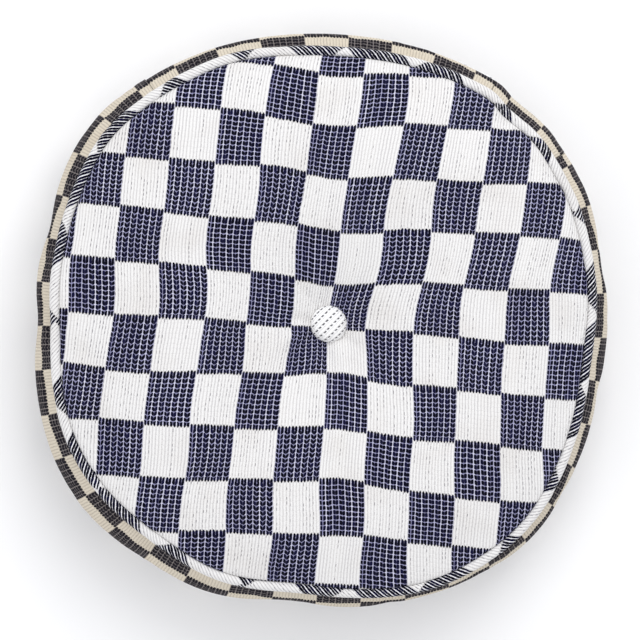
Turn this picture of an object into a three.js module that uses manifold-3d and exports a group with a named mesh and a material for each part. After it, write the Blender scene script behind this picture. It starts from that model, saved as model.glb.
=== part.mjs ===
// A round, boxed seat cushion with piped edges. A covered button on each face is tied through its middle,
// and a zip closes the back of its side band. Millimetres, +Z up. The origin is the middle of the underside,
// where the cushion rests, and +Y is the side with the zip.
import * as THREE from "three";
import { mergeVertices } from "three/addons/utils/BufferGeometryUtils.js";
import Module from "manifold-3d";

// ---- Driving dimensions ------------------------------------------------------------------------

const HALF_WIDTH = 225; // from the middle to the band's fullest line, square to a side
const HALF_DIAGONAL = 235; // the same towards a corner: woven cloth stretches more on the bias
const SIDE_ARC = 30; // degrees that each flatter side reaches either way
const TUFT_X = 4; // the buttons are sewn this far off the middle
const TUFT_Y = -3;
const FABRIC = 1.2; // cloth thickness
const GAP = 0.3; // clearance between neighbouring pieces

const SEAM_TOP = 94; // height of the top piping's centre
const SEAM_BOTTOM = 14;
const MID = (SEAM_TOP + SEAM_BOTTOM) / 2; // the zip runs at this height
const PIPING_INSET = 16.5; // from the band's fullest line in to the piping's centre
const PIPING_RADIUS = 4;
const CORD_RADIUS = 2.3;
const ALLOWANCE_END = 12.5; // the seam allowances reach this far in from the piping's centre
const RIM_DEPTH = 60; // the rim keeps true offsets of the outline this far in

const DIMPLE_TOP = 89; // height of the top panel under the button
const DIMPLE_BOTTOM = 19;
const PANEL_HOLE = 3.2; // radius of the needle hole through the cover
const CORE_HOLE = 4.4; // and through the filling
const FOAM_TOP = 82;
const FOAM_BOTTOM = 26;

const BUTTON_LIFT = 0.4; // from the panel to the button's back
const ZIP_END = 29.93; // degrees that the zip's tapes reach either way from the back's middle
const CHAIN_END = 26.9; // the same for the two rows of coil
const STOP_AT = 27.4; // and for the stops
const SLIDER_AT = 24; // where the slider is parked, with the zip closed
const PULL_LENGTH = 26;

// ---- Materials ---------------------------------------------------------------------------------

const surface = (color, roughness, metalness = 0) =>
  new THREE.MeshStandardMaterial({ color, roughness, metalness });
const checkCloth = surface(0x9a9cb4, 0.9);
const biasCloth = surface(0xa6a7bd, 0.9);
const ivoryCloth = surface(0xefeee9, 0.9);
const cottonCord = surface(0xe9e4d6, 0.95);
const foam = surface(0xf2e8b8, 0.95);
const batting = surface(0xf7f7f5, 1);
const tape = surface(0xe6e1d3, 0.85);
const nylon = surface(0xeae6da, 0.4);
const nickel = surface(0xb9babd, 0.3, 1);
const steel = surface(0x9fa1a4, 0.35, 1);
const waxedTwine = surface(0xd8cfb8, 0.7);

// ---- The outline: four flatter side arcs and four tighter corner arcs, meeting smoothly ---------

const radians = THREE.MathUtils.degToRad;
const sinArc = Math.sin(radians(SIDE_ARC));
const cosArc = Math.cos(radians(SIDE_ARC));
const radiusStep =
  (HALF_DIAGONAL - HALF_WIDTH) / (Math.SQRT2 * sinArc + cosArc - sinArc - 1);
const SIDE_RADIUS = HALF_WIDTH + radiusStep * (cosArc - sinArc);
const CORNER_RADIUS = SIDE_RADIUS - radiusStep;
const CORNER_OFFSET = radiusStep * sinArc;

// The outward direction at a bearing in degrees, clockwise from +Y as seen from above.
const outward = (bearing) =>
  new THREE.Vector2(Math.sin(radians(bearing)), Math.cos(radians(bearing)));

// The point of the band's fullest line where the outline faces that bearing.
function outlinePoint(bearing) {
  const quarter = Math.round(bearing / 90);
  const turned = bearing - 90 * quarter;
  if (Math.abs(turned) <= SIDE_ARC) {
    const centre = outward(90 * quarter).multiplyScalar(
      HALF_WIDTH - SIDE_RADIUS,
    );
    return outward(bearing).multiplyScalar(SIDE_RADIUS).add(centre);
  }
  const corner = outward(90 * quarter + 45 * Math.sign(turned));
  return outward(bearing)
    .multiplyScalar(CORNER_RADIUS)
    .add(corner.multiplyScalar(CORNER_OFFSET * Math.SQRT2));
}

// A section's point (x outwards from the fullest line, z up) at a bearing. Inside the rim the rings
// shrink evenly towards the tuft.
function place([x, z], bearing) {
  const edge = outlinePoint(bearing);
  const inside = Math.max(x, -RIM_DEPTH);
  const point = edge.add(outward(bearing).multiplyScalar(inside));
  if (x < -RIM_DEPTH) {
    const tuft = new THREE.Vector2(TUFT_X, TUFT_Y);
    point.lerp(tuft, 1 - (HALF_WIDTH + x) / (HALF_WIDTH - RIM_DEPTH));
  }
  return new THREE.Vector3(point.x, point.y, z);
}

// ---- Bearings that every ring shares, so that neighbours have matching facets -------------------

const ZIP_STEP = 5; // finer along the zip, where the slider runs
const RING_STEP = 10;
const stepsBetween = (from, to, step) =>
  Array.from({ length: Math.round((to - from) / step) }, (_, i) => from + i * step);
const zipBearings = [...stepsBetween(-SIDE_ARC, SIDE_ARC, ZIP_STEP), SIDE_ARC];
const frontBearings = [...stepsBetween(SIDE_ARC, 360 - SIDE_ARC, RING_STEP), 360 - SIDE_ARC];
const allBearings = [...zipBearings.slice(0, -1), ...frontBearings.slice(0, -1)];

// The part of the zip's bearings within end degrees of the middle, with the ends themselves.
const zipBearingsTo = (end) => [
  -end,
  ...zipBearings.filter((bearing) => Math.abs(bearing) < end - 0.1),
  end,
];

// ---- Sweeping a closed section round the outline -----------------------------------------------

// A closed section as (x, z) pairs, counterclockwise with x to the right, swept through the bearings.
function sweep(section, bearings, closed) {
  const corners = section.map(([x, z]) => new THREE.Vector2(x, z));
  if (THREE.ShapeUtils.area(corners) < 0) corners.reverse();
  const count = corners.length;
  const positions = bearings.flatMap((bearing) =>
    corners.flatMap((corner) => place([corner.x, corner.y], bearing).toArray()),
  );
  const index = [];
  const spans = closed ? bearings.length : bearings.length - 1;
  for (let i = 0; i < spans; i++) {
    const here = i * count;
    const next = ((i + 1) % bearings.length) * count;
    for (let j = 0; j < count; j++) {
      const k = (j + 1) % count;
      index.push(here + j, here + k, next + j, here + k, next + k, next + j);
    }
  }
  if (!closed) {
    const last = (bearings.length - 1) * count;
    for (const [a, b, c] of THREE.ShapeUtils.triangulateShape(corners, [])) {
      index.push(a, c, b);
      index.push(last + a, last + b, last + c);
    }
  }
  return new THREE.BufferGeometry()
    .setAttribute("position", new THREE.Float32BufferAttribute(positions, 3))
    .setIndex(index);
}

const ring = (section) => sweep(section, allBearings, true);
const mirrored = (section) => section.map(([x, z]) => [x, 2 * MID - z]);

// A point near a seam: along is outwards and up through the piping, across is square to that.
function atSeam(along, across) {
  return [
    -PIPING_INSET + (along - across) * Math.SQRT1_2,
    SEAM_TOP + (along + across) * Math.SQRT1_2,
  ];
}

// ---- Cover: panels ------------------------------------------------------------------------------

// Where each layer of cloth lies beside the piping's flanges, measured across the seam.
const FLANGE = 0.2;
const LAYER = FLANGE + FABRIC + GAP;
const CREASE = -4.9; // where a panel or the band turns in beside the piping
const CREASE_INSIDE = -6.2;

const fromMiddle = (radius, z) => [radius - HALF_WIDTH, z];
const topCrown = [
  fromMiddle(PANEL_HOLE, DIMPLE_TOP),
  fromMiddle(13, DIMPLE_TOP),
  fromMiddle(23, 93),
  fromMiddle(44, 101.6),
  fromMiddle(78, 109),
  fromMiddle(125, 112),
  fromMiddle(165, 109),
  fromMiddle(196, 100.4),
];
const bottomCrown = [
  fromMiddle(PANEL_HOLE, DIMPLE_BOTTOM),
  fromMiddle(13, DIMPLE_BOTTOM),
  fromMiddle(26, 13.4),
  fromMiddle(48, 4),
  fromMiddle(72, 0),
  fromMiddle(165, 0),
  fromMiddle(197, 7.6),
];

// The panel's turned-in edge, drawn for the top seam.
const panelEdge = [
  atSeam(CREASE + 0.3, LAYER + 0.9),
  atSeam(CREASE, LAYER),
  atSeam(-ALLOWANCE_END, LAYER),
  atSeam(-ALLOWANCE_END, LAYER + FABRIC),
  atSeam(CREASE_INSIDE, LAYER + FABRIC),
];

// The same crown, inside the cloth: side is -1 below the top panel and 1 above the bottom one.
const innerSide = (crown, side, depth) =>
  crown.map(([x, z]) => [x, z + side * depth]);

const topPanelSection = [
  ...topCrown,
  ...panelEdge,
  ...innerSide(topCrown, -1, FABRIC).reverse(),
];
const bottomPanelSection = [
  ...bottomCrown,
  ...mirrored(panelEdge),
  ...innerSide(bottomCrown, 1, FABRIC).reverse(),
];

// ---- Cover: side band ---------------------------------------------------------------------------

// The band's turned-in edge beside the top piping, from its outer face round to its inner face.
const bandEdge = [
  atSeam(CREASE + 0.3, -LAYER - 0.9),
  atSeam(CREASE, -LAYER),
  atSeam(-ALLOWANCE_END, -LAYER),
  atSeam(-ALLOWANCE_END, -LAYER - FABRIC),
  atSeam(CREASE_INSIDE, -LAYER - FABRIC),
];

// The front length of the band bulges to its fullest line. Outer then inner face, above the middle.
const bandOuter = [
  [-1.5, 66],
  [-5.6, 76.5],
  [-11.5, 84.3],
];
const bandInner = [
  [-12.3, 83.4],
  [-6.7, 75.9],
  [-2.7, 65.7],
];
const upperHalf = [...bandOuter, ...bandEdge, ...bandInner];
const bandFrontSection = [
  [0, MID],
  ...upperHalf,
  [-FABRIC, MID],
  ...mirrored(upperHalf).reverse(),
];

// At the back, each half of the band bulges too, and then dips to a folded edge beside the zip.
const FOLD = 6; // from the zip's middle to the folded edge
const zipStripSection = [
  [-5.9, MID + FOLD],
  [-4.7, MID + FOLD],
  [-3, 62.3],
  [-1.6, 67],
  [-2.8, 73],
  [-6.4, 78.6],
  [-12, 84.6],
  ...bandEdge,
  [-13, 83.6],
  [-7.5, 77.8],
  [-4, 72.6],
  [-2.9, 67],
  [-4.2, 62.8],
];

// ---- Cover: piping ------------------------------------------------------------------------------

// Round a circle about the piping's centre, from one flange to the other by way of the outside.
function pipingArc(radius, flangeSide, steps) {
  const start = Math.PI - Math.asin(flangeSide / radius);
  return Array.from({ length: steps + 1 }, (_, i) => {
    const angle = start * (1 - (2 * i) / steps);
    return atSeam(radius * Math.cos(angle), radius * Math.sin(angle));
  });
}
const outerArc = pipingArc(PIPING_RADIUS, FLANGE + FABRIC, 7);
const innerArc = pipingArc(PIPING_RADIUS - FABRIC, FLANGE, 6).reverse();
const pipingSection = [
  atSeam(-ALLOWANCE_END, FLANGE + FABRIC),
  ...outerArc,
  atSeam(-ALLOWANCE_END, -FLANGE - FABRIC),
  atSeam(-ALLOWANCE_END, -FLANGE),
  ...innerArc,
  atSeam(-ALLOWANCE_END, FLANGE),
];
const CORD_SIDES = 6;
const pipingCordSection = Array.from({ length: CORD_SIDES }, (_, i) => {
  const angle = (2 * Math.PI * i) / CORD_SIDES;
  return atSeam(CORD_RADIUS * Math.cos(angle), CORD_RADIUS * Math.sin(angle));
});

// ---- Filling ------------------------------------------------------------------------------------

const FOAM_INSET = 18;
const FOAM_CHAMFER = 10;
const foamSection = [
  fromMiddle(CORE_HOLE, FOAM_BOTTOM),
  [-FOAM_INSET - FOAM_CHAMFER, FOAM_BOTTOM],
  [-FOAM_INSET, FOAM_BOTTOM + FOAM_CHAMFER],
  [-FOAM_INSET, FOAM_TOP - FOAM_CHAMFER],
  [-FOAM_INSET - FOAM_CHAMFER, FOAM_TOP],
  fromMiddle(CORE_HOLE, FOAM_TOP),
];

// The wrap is two halves that meet at the middle of the side. This is the upper half's rim, from
// the skirt's foot beside the foam, out behind the zip, and up past the seam allowances.
const CLEAR = 0.4;
const wrapRim = [
  [-FOAM_INSET + CLEAR, MID + GAP / 2],
  [-10, MID + GAP / 2],
  [-10, 70],
  [-10.6, 76],
  [-14.6, 81.6],
  [-18.6, 83.6],
  atSeam(-ALLOWANCE_END - 1, -4.2),
  atSeam(-ALLOWANCE_END - 1, 4),
  [-30, 96.9],
];
const wrapInside = [
  [-FOAM_INSET - FOAM_CHAMFER - 0.2, FOAM_TOP + CLEAR],
  [-FOAM_INSET + CLEAR, FOAM_TOP - FOAM_CHAMFER - 0.2],
];
const underCrown = (crown, side) =>
  innerSide(crown.slice(1, -1), side, FABRIC + CLEAR).reverse();
const wrapTopSection = [
  ...wrapRim,
  ...underCrown(topCrown, -1),
  fromMiddle(CORE_HOLE, DIMPLE_TOP - FABRIC - CLEAR),
  fromMiddle(CORE_HOLE, FOAM_TOP + CLEAR),
  ...wrapInside,
];
const wrapBottomSection = [
  ...mirrored(wrapRim),
  ...underCrown(bottomCrown, 1),
  fromMiddle(CORE_HOLE, DIMPLE_BOTTOM + FABRIC + CLEAR),
  fromMiddle(CORE_HOLE, FOAM_BOTTOM - CLEAR),
  ...mirrored(wrapInside),
];

// ---- Zip: tapes and coil ------------------------------------------------------------------------

const TAPE_BACK = -7; // the tape's faces, from the outline
const TAPE_FRONT = -6.3;
const CHAIN_BACK = TAPE_FRONT + GAP;
const CHAIN_FRONT = -3.8;
const CHAIN_GAP = 0.9; // half the space between the two rows, where the slider's post runs
const TAPE_WIDTH = 13;
const CHAIN_WIDTH = 2.4;

const rectangle = (x0, x1, z0, z1) => [
  [x0, z0],
  [x1, z0],
  [x1, z1],
  [x0, z1],
];
const tapeSection = rectangle(TAPE_BACK, TAPE_FRONT, MID + CHAIN_GAP, MID + CHAIN_GAP + TAPE_WIDTH);
const chainSection = rectangle(
  CHAIN_BACK,
  CHAIN_FRONT,
  MID + CHAIN_GAP,
  MID + CHAIN_GAP + CHAIN_WIDTH,
);

// ---- Zip: slider, pull and stops, each in a frame on the zip's arc ------------------------------
// In that frame x is outwards from the outline, y runs along the zip towards its bottom stop, z is up.

function onZip(bearing, ...meshes) {
  const spot = outlinePoint(bearing);
  const frame = new THREE.Group();
  frame.position.set(spot.x, spot.y, MID);
  frame.rotation.z = Math.PI / 2 - radians(bearing);
  if (meshes.length) frame.add(...meshes);
  return frame;
}

// A shape drawn in y and z, made thick along x from one face to the other.
function plate(shape, x0, x1) {
  const geometry = new THREE.ExtrudeGeometry(shape, {
    depth: x1 - x0,
    bevelEnabled: false,
    curveSegments: 5,
  });
  const axes = new THREE.Matrix4().makeBasis(
    new THREE.Vector3(0, 1, 0),
    new THREE.Vector3(0, 0, 1),
    new THREE.Vector3(1, 0, 0),
  );
  return geometry.applyMatrix4(axes).translate(x0, 0, 0);
}

function block(x0, x1, y0, y1, z0, z1) {
  return new THREE.BoxGeometry(x1 - x0, y1 - y0, z1 - z0).translate(
    (x0 + x1) / 2,
    (y0 + y1) / 2,
    (z0 + z1) / 2,
  );
}

// A rectangle with round corners, and holes if any.
function roundedRectangle(y0, y1, z0, z1, radius, type = THREE.Shape) {
  const shape = new type();
  shape.moveTo(y0 + radius, z0);
  shape.lineTo(y1 - radius, z0);
  shape.absarc(y1 - radius, z0 + radius, radius, -Math.PI / 2, 0);
  shape.lineTo(y1, z1 - radius);
  shape.absarc(y1 - radius, z1 - radius, radius, 0, Math.PI / 2);
  shape.lineTo(y0 + radius, z1);
  shape.absarc(y0 + radius, z1 - radius, radius, Math.PI / 2, Math.PI);
  shape.lineTo(y0, z0 + radius);
  shape.absarc(y0 + radius, z0 + radius, radius, Math.PI, 1.5 * Math.PI);
  return shape;
}

const wasm = await Module();
wasm.setup();

function solidOf(geometry) {
  const bare = geometry.clone();
  bare.deleteAttribute("normal");
  bare.deleteAttribute("uv");
  const merged = mergeVertices(bare, 1e-4);
  return new wasm.Manifold(
    new wasm.Mesh({
      numProp: 3,
      vertProperties: merged.attributes.position.array,
      triVerts: new Uint32Array(merged.index.array),
    }),
  );
}

function joined(geometries) {
  const whole = geometries
    .map(solidOf)
    .reduce((sum, next) => sum.add(next))
    .getMesh();
  return new THREE.BufferGeometry()
    .setAttribute("position", new THREE.BufferAttribute(whole.vertProperties, 3))
    .setIndex(new THREE.BufferAttribute(whole.triVerts, 1));
}

const SLIDER_FACE = -2.1; // the front of the slider's face plate
const SLIDER_HALF_LENGTH = 5.2;
const SLIDER_HALF_HEIGHT = 4.6;
const PIN = SLIDER_FACE + 0.85; // the pull's crossbar turns about this line
const BRIDGE_HALF = 0.8; // half the bridge's width

function sliderGeometry() {
  const face = roundedRectangle(
    -SLIDER_HALF_LENGTH,
    SLIDER_HALF_LENGTH,
    -SLIDER_HALF_HEIGHT,
    SLIDER_HALF_HEIGHT,
    1.8,
  );
  const bridgeFoot = (y0, y1) =>
    block(SLIDER_FACE - 0.6, 0.2, y0, y1, -BRIDGE_HALF, BRIDGE_HALF);
  return joined([
    plate(face, -3.3, SLIDER_FACE),
    plate(face, -8.8, -7.5),
    block(-8.2, -2.7, -1.5, 1.5, -0.5, 0.5),
    bridgeFoot(-3.8, -2.6),
    bridgeFoot(2.6, 3.8),
    block(-0.4, 0.5, -3.8, 3.8, -BRIDGE_HALF, BRIDGE_HALF),
  ]);
}

function pullGeometry() {
  const outline = roundedRectangle(-PULL_LENGTH, 0.5, -2.7, 2.7, 0.45);
  outline.holes.push(roundedRectangle(-5.6, -0.5, -1.25, 1.25, 0.4, THREE.Path));
  const tab = roundedRectangle(-PULL_LENGTH, -7.2, -3.6, 3.6, 2);
  const eye = roundedRectangle(2 - PULL_LENGTH, -17.5, -1.6, 1.6, 1.5, THREE.Path);
  outline.holes.push(eye);
  tab.holes.push(eye);
  return joined([plate(outline, PIN - 0.5, PIN + 0.5), plate(tab, PIN - 0.5, PIN + 0.5)]);
}

const STOP_HALF_LENGTH = 1.4;
const stopBlock = (z0, z1) =>
  block(CHAIN_BACK, CHAIN_FRONT + 0.2, -STOP_HALF_LENGTH, STOP_HALF_LENGTH, z0, z1);

// ---- Buttons and twine --------------------------------------------------------------------------

const BUTTON_SEGMENTS = 16;

// A closed profile of (radius, height) pairs turned about the tuft's upright axis.
function turned(profile) {
  const points = profile.map(([r, h]) => new THREE.Vector2(r, h));
  const onAxis = points[0].x === 0 && points[points.length - 1].x === 0;
  if (!onAxis) points.push(points[0].clone());
  return new THREE.LatheGeometry(points, BUTTON_SEGMENTS).rotateX(Math.PI / 2);
}

// Heights are above the button's back.
const buttonCover = turned([
  [0, 7.2],
  [5.2, 6.65],
  [9, 5.25],
  [13.3, 1.4],
  [13, 0.8],
  [11.9, 0.8],
  [11.9, 0],
  [13.6, 0],
  [14.2, 1.4],
  [12.6, 3.6],
  [9.5, 6],
  [5.5, 7.45],
  [0, 8],
]);
const buttonShell = turned([
  [0, 6],
  [4.8, 5.45],
  [8.2, 4.2],
  [11.4, 1.15],
  [12.6, 1.15],
  [12.7, 1.4],
  [8.7, 4.95],
  [5, 6.2],
  [0, 6.75],
]);
const buttonBack = turned([
  [2.7, 1.15],
  [10.1, 1.15],
  [10.1, 1.95],
  [2.7, 1.95],
]);

// A round bar along a path that lies in one upright plane, square to the direction across.
const BAR_SIDES = 6;
function bar(path, across, radius) {
  const positions = path.flatMap((point, i) => {
    const before = path[Math.max(i - 1, 0)];
    const after = path[Math.min(i + 1, path.length - 1)];
    const side = after.clone().sub(before).normalize().cross(across);
    return Array.from({ length: BAR_SIDES }, (_, k) => {
      const angle = (2 * Math.PI * k) / BAR_SIDES;
      return point
        .clone()
        .addScaledVector(across, radius * Math.cos(angle))
        .addScaledVector(side, radius * Math.sin(angle))
        .toArray();
    }).flat();
  });
  const index = [];
  for (let i = 0; i < path.length - 1; i++) {
    for (let k = 0; k < BAR_SIDES; k++) {
      const here = i * BAR_SIDES;
      const [a, b] = [here + k, here + ((k + 1) % BAR_SIDES)];
      index.push(a, b, a + BAR_SIDES, b, b + BAR_SIDES, a + BAR_SIDES);
    }
  }
  const last = (path.length - 1) * BAR_SIDES;
  for (let k = 1; k < BAR_SIDES - 1; k++) {
    index.push(0, k + 1, k, last, last + k, last + k + 1);
  }
  return new THREE.BufferGeometry()
    .setAttribute("position", new THREE.Float32BufferAttribute(positions, 3))
    .setIndex(index);
}

// Points round half a circle in an upright plane, from one angle to another in degrees.
const HALF_TURN_STEPS = 6;
const halfTurn = (radius, height, from, to) =>
  Array.from({ length: HALF_TURN_STEPS + 1 }, (_, i) => {
    const angle = radians(from + ((to - from) * i) / HALF_TURN_STEPS);
    return [radius * Math.cos(angle), height + radius * Math.sin(angle)];
  });

const WIRE = 0.6;
const EYE_RADIUS = 1.7; // the shank is a wire eye of this radius below the button
const EYE_CENTRE = -1.3;
const FOOT_HEIGHT = 2.9; // its ends are bent out over the button's back at this height
const footPath = [
  [-4.2, FOOT_HEIGHT],
  [-2.3, FOOT_HEIGHT],
  [-EYE_RADIUS, FOOT_HEIGHT - 0.6],
];
const shankPath = [
  ...footPath,
  ...halfTurn(EYE_RADIUS, EYE_CENTRE, 180, 360),
  ...footPath.map(([x, z]) => [-x, z]).reverse(),
];
const buttonShank = bar(
  shankPath.map(([x, z]) => new THREE.Vector3(x, 0, z)),
  new THREE.Vector3(0, 1, 0),
  WIRE,
);

const TWINE = 0.7;
const STRAND = 1.7; // each strand's distance from the tuft's axis
const TWINE_BEND = -2.6; // the centre of its turn through the eye, from the button's back
const buttonTop = DIMPLE_TOP + BUTTON_LIFT;
const buttonBottom = DIMPLE_BOTTOM - BUTTON_LIFT;
const KNOT_Z = 30;
const KNOT_RADIUS = 1.5;
const KNOT_HALF = 2.4;
const twinePath = [
  [-STRAND, KNOT_Z + KNOT_HALF + GAP],
  ...halfTurn(STRAND, buttonTop + TWINE_BEND, 180, 0),
  ...halfTurn(STRAND, buttonBottom - TWINE_BEND, 0, -180),
  [-STRAND, KNOT_Z - KNOT_HALF - GAP],
];
const tuftTwine = bar(
  twinePath.map(([y, z]) => new THREE.Vector3(0, y, z)),
  new THREE.Vector3(1, 0, 0),
  TWINE,
);
const knot = new THREE.SphereGeometry(KNOT_RADIUS, 8, 6)
  .rotateX(Math.PI / 2)
  .scale(1, 1, KNOT_HALF / KNOT_RADIUS);

// ---- Assembly -----------------------------------------------------------------------------------

function piece(name, geometry, material) {
  const mesh = new THREE.Mesh(geometry, material);
  mesh.name = name;
  return mesh;
}

const cushion = new THREE.Group();
const zipArc = zipBearingsTo(ZIP_END);
const chainArc = zipBearingsTo(CHAIN_END);

cushion.add(
  piece("top_panel", ring(topPanelSection), checkCloth),
  piece("bottom_panel", ring(bottomPanelSection), checkCloth),
  piece("band_front", sweep(bandFrontSection, frontBearings, false), checkCloth),
  piece("band_zip_upper", sweep(zipStripSection, zipArc, false), checkCloth),
  piece("band_zip_lower", sweep(mirrored(zipStripSection), zipArc, false), checkCloth),
  piece("top_piping_cover", ring(pipingSection), biasCloth),
  piece("top_piping_cord", ring(pipingCordSection), cottonCord),
  piece("bottom_piping_cover", ring(mirrored(pipingSection)), biasCloth),
  piece("bottom_piping_cord", ring(mirrored(pipingCordSection)), cottonCord),
  piece("foam_core", ring(foamSection), foam),
  piece("fibre_wrap_top", ring(wrapTopSection), batting),
  piece("fibre_wrap_bottom", ring(wrapBottomSection), batting),
  piece("zip_tape_upper", sweep(tapeSection, zipArc, false), tape),
  piece("zip_tape_lower", sweep(mirrored(tapeSection), zipArc, false), tape),
  piece("zip_coil_upper", sweep(chainSection, chainArc, false), nylon),
  piece("zip_coil_lower", sweep(mirrored(chainSection), chainArc, false), nylon),
);

const stopInner = CHAIN_GAP;
const stopOuter = CHAIN_GAP + CHAIN_WIDTH;
cushion.add(
  onZip(-STOP_AT, piece("zip_bottom_stop", stopBlock(-stopOuter, stopOuter), nickel)),
  onZip(
    STOP_AT,
    piece("zip_top_stop_upper", stopBlock(stopInner, stopOuter), nickel),
    piece("zip_top_stop_lower", stopBlock(-stopOuter, -stopInner), nickel),
  ),
  onZip(
    SLIDER_AT,
    piece("zip_slider", sliderGeometry(), nickel),
    piece("zip_pull", pullGeometry(), nickel),
  ),
);

// Each button is the same four pieces, the lower one turned over.
for (const [side, height, turn] of [
  ["top", buttonTop, 0],
  ["bottom", buttonBottom, Math.PI],
]) {
  const button = new THREE.Group();
  button.position.set(TUFT_X, TUFT_Y, height);
  button.rotation.x = turn;
  button.add(
    piece(side + "_button_cover", buttonCover, ivoryCloth),
    piece(side + "_button_shell", buttonShell, steel),
    piece(side + "_button_back", buttonBack, steel),
    piece(side + "_button_shank", buttonShank, steel),
  );
  cushion.add(button);
}

const tuft = new THREE.Group();
tuft.position.set(TUFT_X, TUFT_Y, 0);
const twineKnot = piece("twine_knot", knot, waxedTwine);
twineKnot.position.set(0, -STRAND, KNOT_Z);
tuft.add(piece("tuft_twine", tuftTwine, waxedTwine), twineKnot);
cushion.add(tuft);

export default cushion;
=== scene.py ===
"""Looks for a round, boxed and piped seat cushion with a button through its middle, in metres."""
import math

import bmesh
import bpy
import numpy as np
from mathutils import Matrix, Vector


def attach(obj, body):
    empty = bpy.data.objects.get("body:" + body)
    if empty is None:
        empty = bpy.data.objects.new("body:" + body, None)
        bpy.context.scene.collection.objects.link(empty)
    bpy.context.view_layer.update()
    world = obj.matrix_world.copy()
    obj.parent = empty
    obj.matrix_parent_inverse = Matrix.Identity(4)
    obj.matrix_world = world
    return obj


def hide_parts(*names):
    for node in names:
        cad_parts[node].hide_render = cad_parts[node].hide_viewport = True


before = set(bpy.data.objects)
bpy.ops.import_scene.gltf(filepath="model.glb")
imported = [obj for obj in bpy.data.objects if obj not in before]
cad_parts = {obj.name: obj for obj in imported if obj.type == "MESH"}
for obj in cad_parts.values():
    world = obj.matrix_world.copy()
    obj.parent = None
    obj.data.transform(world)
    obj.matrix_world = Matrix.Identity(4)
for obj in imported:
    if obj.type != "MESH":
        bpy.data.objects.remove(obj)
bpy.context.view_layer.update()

# ---- Dimensions shared with the CAD model --------------------------------------------------------

HALF_WIDTH = 0.225
HALF_DIAGONAL = 0.235
SIDE_ARC = math.radians(30)
TUFT = np.array([0.004, -0.003])
SEAM_TOP = 0.094
SEAM_BOTTOM = 0.014
MID = (SEAM_TOP + SEAM_BOTTOM) / 2
PIPING_INSET = 0.0165
PIPING_RADIUS = 0.004
ALLOWANCE_END = 0.0125
RIM_DEPTH = 0.060
DIMPLE_TOP = 0.089
DIMPLE_BOTTOM = 0.019
BUTTON_LIFT = 0.0004
ZIP_END = math.radians(29.93)
CHAIN_END = math.radians(26.9)
FOLD = 0.006

# ---- The cloth: ribs run up each check, rows of dashes run across it -----------------------------

RIB = 0.00247
ROW = 0.00369
CHECK_RIBS = 14
CHECK_ROWS = 11
COLUMN_LEAN = math.radians(5.5)
ROW_TILT = math.radians(3.9)

# ---- The outline -----------------------------------------------------------------------------------

TURN = 2 * math.pi
HALF = math.sqrt(0.5)
RADIUS_STEP = (HALF_DIAGONAL - HALF_WIDTH) / (
    math.sqrt(2) * math.sin(SIDE_ARC) + math.cos(SIDE_ARC) - math.sin(SIDE_ARC) - 1)
SIDE_RADIUS = HALF_WIDTH + RADIUS_STEP * (math.cos(SIDE_ARC) - math.sin(SIDE_ARC))
CORNER_RADIUS = SIDE_RADIUS - RADIUS_STEP
CORNER_OFFSET = RADIUS_STEP * math.sin(SIDE_ARC) * math.sqrt(2)


def outward(bearing):
    """Unit vectors at bearings in radians, clockwise from +Y."""
    return np.stack([np.sin(bearing), np.cos(bearing)], -1)


def outline(bearing):
    """Points of the band's fullest line where the outline faces those bearings."""
    quarter = np.round(bearing / (math.pi / 2))
    turned = bearing - quarter * math.pi / 2
    corner = quarter * math.pi / 2 + np.sign(turned) * math.pi / 4
    on_side = outward(bearing) * SIDE_RADIUS + outward(quarter * math.pi / 2) * (HALF_WIDTH - SIDE_RADIUS)
    on_corner = outward(bearing) * CORNER_RADIUS + outward(corner) * CORNER_OFFSET
    return np.where((np.abs(turned) <= SIDE_ARC)[..., None], on_side, on_corner)


def place(x, z, bearing):
    """Section points (x outwards from the fullest line, z up) at bearings, as in the CAD model."""
    x, z, bearing = np.broadcast_arrays(x, z, bearing)
    flat = outline(bearing) + outward(bearing) * np.maximum(x, -RIM_DEPTH)[..., None]
    shrink = np.clip((HALF_WIDTH + x) / (HALF_WIDTH - RIM_DEPTH), 0, 1)[..., None]
    flat = TUFT + (flat - TUFT) * shrink
    return np.concatenate([flat, z[..., None]], -1)


def at_seam(along, across):
    """A point near the top seam: along is outwards and up through the piping, across is square to it."""
    return (-PIPING_INSET + (along - across) * HALF, SEAM_TOP + (along + across) * HALF)


def beside_piping(degrees, clearance=0.0003):
    """A point on the piping's skin, by its angle about the seam from straight out and up."""
    angle = math.radians(degrees)
    radius = PIPING_RADIUS + clearance
    return at_seam(radius * math.cos(angle), radius * math.sin(angle))


def flipped(section):
    """The same section for the other seam, turned over about the middle height."""
    return [(x, 2 * MID - z) for x, z in reversed(section)]


def smooth_line(points, count, crowd=0.0):
    """A Catmull-Rom curve through the points, resampled to count points. crowd is 0 for even spacing, and
    up to 1 to bring the points closer together towards both ends."""
    p = np.array(points, float)
    p = np.vstack([2 * p[0] - p[1], p, 2 * p[-1] - p[-2]])
    fine = []
    for a, b, c, d in zip(p, p[1:], p[2:], p[3:]):
        t = np.linspace(0, 1, 24, endpoint=False)[:, None]
        fine.append(0.5 * (2 * b + (c - a) * t + (2 * a - 5 * b + 4 * c - d) * t**2
                           + (3 * b - a - 3 * c + d) * t**3))
    fine = np.vstack(fine + [p[-2:-1]])
    run = np.r_[0, np.cumsum(np.linalg.norm(np.diff(fine, axis=0), axis=1))]
    share = np.linspace(0, 1, count)
    share += crowd * (0.5 - 0.5 * np.cos(math.pi * share) - share)
    return np.stack([np.interp(share * run[-1], run, fine[:, k]) for k in range(p.shape[1])], -1)


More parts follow.
